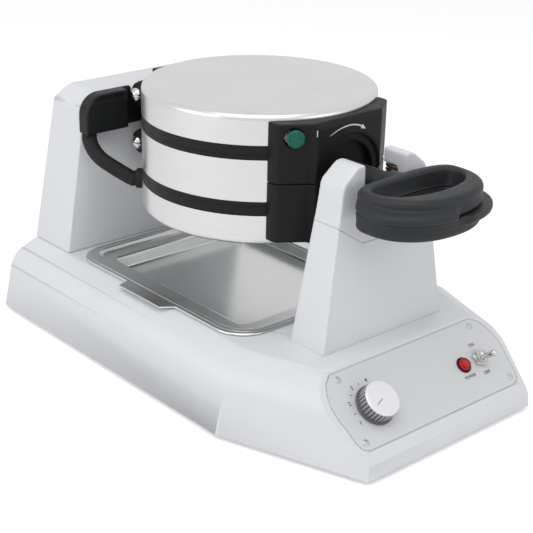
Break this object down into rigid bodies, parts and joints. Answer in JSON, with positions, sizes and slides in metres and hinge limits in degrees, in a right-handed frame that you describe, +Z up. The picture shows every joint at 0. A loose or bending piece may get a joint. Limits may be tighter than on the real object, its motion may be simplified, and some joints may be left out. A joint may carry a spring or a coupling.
{
  "type": "rotary waffle maker",
  "caption": "Countertop rotary waffle maker: a round flip-over drum of hinged baking plates between two pillars, with loop handles, a drip tray, a dial and a toggle switch.",
  "frame": {"origin": "centre of the footprint, on the surface that the rubber feet stand on", "axes": "+Z up, -Y towards the user and the controls, +X to the user's right; the drum turns about an axis along Y"},
  "size_m": [0.2872, 0.4736, 0.254],
  "materials": {
    "painted_shell": "smooth silver-grey paint, low gloss",
    "control_plate": "satin printed plate",
    "brushed_cover": "brushed stainless, soft sheen",
    "polished_tray": "polished stainless",
    "plain_steel": "zinc-plated steel",
    "bright_fitting": "bright plated",
    "cast_plate": "dark non-stick coated casting",
    "dark_casting": "dark grey coated casting, matte",
    "handle_plastic": "matte dark grey heat-resistant plastic",
    "black_rubber": "matte black",
    "bronze": "plain bronze",
    "heater_sheath": "dull sheath",
    "insulation": "ceramic fibre blanket",
    "terminal_plastic": "off-white moulding",
    "knob_grey": "satin grey moulding",
    "knob_face": "light satin disc",
    "green_lens": "ribbed green lens",
    "red_lens": "red lens"
  },
  "bodies": {
    "base": {"base_housing": "painted_shell", "bottom_cover": "plain_steel", "rubber_feet": "black_rubber", "base_screws": "plain_steel", "rear_pillar": "painted_shell", "rear_pillar_cover": "painted_shell", "rear_bearing": "bronze", "front_pillar": "painted_shell", "front_pillar_cap": "painted_shell", "slot_springs": "bronze", "cord_gland": "black_rubber", "terminal_block": "terminal_plastic", "control_plate": "control_plate", "plate_rivets": "plain_steel", "thermostat_body": "plain_steel", "switch_body": "plain_steel", "switch_nut": "bright_fitting", "power_light": "red_lens"},
    "drum": {"middle_ring": "brushed_cover", "upper_middle_plate": "cast_plate", "upper_middle_rim": "cast_plate", "lower_middle_plate": "cast_plate", "lower_middle_rim": "cast_plate", "middle_heater": "heater_sheath", "rear_yoke": "dark_casting", "drum_shaft": "plain_steel", "shaft_stop_collar": "plain_steel", "shaft_clip": "plain_steel", "hinge_pins": "bright_fitting", "hinge_washers": "black_rubber", "hinge_dome_nuts": "bright_fitting"},
    "top_lid": {"top_cover": "brushed_cover", "top_plate": "cast_plate", "top_plate_rim": "cast_plate", "top_heater": "heater_sheath", "top_insulation": "insulation", "top_hinge_arm": "handle_plastic", "top_lid_screws": "plain_steel", "top_hose_gland": "plain_steel", "top_bracket": "handle_plastic", "top_ready_light": "green_lens", "top_handle": "handle_plastic", "top_cable_hose": "black_rubber"},
    "bottom_lid": {"bottom_lid_cover": "brushed_cover", "bottom_plate": "cast_plate", "bottom_plate_rim": "cast_plate", "bottom_heater": "heater_sheath", "bottom_insulation": "insulation", "bottom_hinge_arm": "handle_plastic", "bottom_lid_screws": "plain_steel", "bottom_hose_gland": "plain_steel", "bottom_bracket": "handle_plastic", "bottom_ready_light": "green_lens", "bottom_handle": "handle_plastic", "bottom_cable_hose": "black_rubber"},
    "tray": {"drip_tray": "polished_tray"},
    "knob": {"thermostat_spindle": "plain_steel", "control_knob": "knob_grey", "knob_face": "knob_face"},
    "toggle": {"toggle_lever": "bright_fitting"}
  },
  "joints": [
    {"name": "drum_flip", "type": "hinge", "parent": "base", "child": "drum", "pos_m": [0, 0.01057, 0.1975], "axis": [0, 1, 0], "range_deg": [0, 180]},
    {"name": "top_lid_open", "type": "hinge", "parent": "drum", "child": "top_lid", "pos_m": [0, 0.14058, 0.2208], "axis": [1, 0, 0], "range_deg": [-95, 0], "deforming": ["top_cable_hose"]},
    {"name": "bottom_lid_open", "type": "hinge", "parent": "drum", "child": "bottom_lid", "pos_m": [0, 0.14058, 0.1742], "axis": [1, 0, 0], "range_deg": [0, 1.5], "deforming": ["bottom_cable_hose"]},
    {"name": "thermostat_turn", "type": "hinge", "parent": "base", "child": "knob", "pos_m": [-0.061, -0.20374, 0.04467], "axis": [0, 0.6388, -0.7694], "range_deg": [0, 225]},
    {"name": "power_toggle", "type": "hinge", "parent": "base", "child": "toggle", "pos_m": [0.068, -0.20169, 0.04377], "axis": [-1, 0, 0], "range_deg": [0, 26]},
    {"name": "tray_lift", "type": "slide", "parent": "base", "child": "tray", "axis": [0, 0, 1], "range_m": [0, 0.025]}
  ]
}
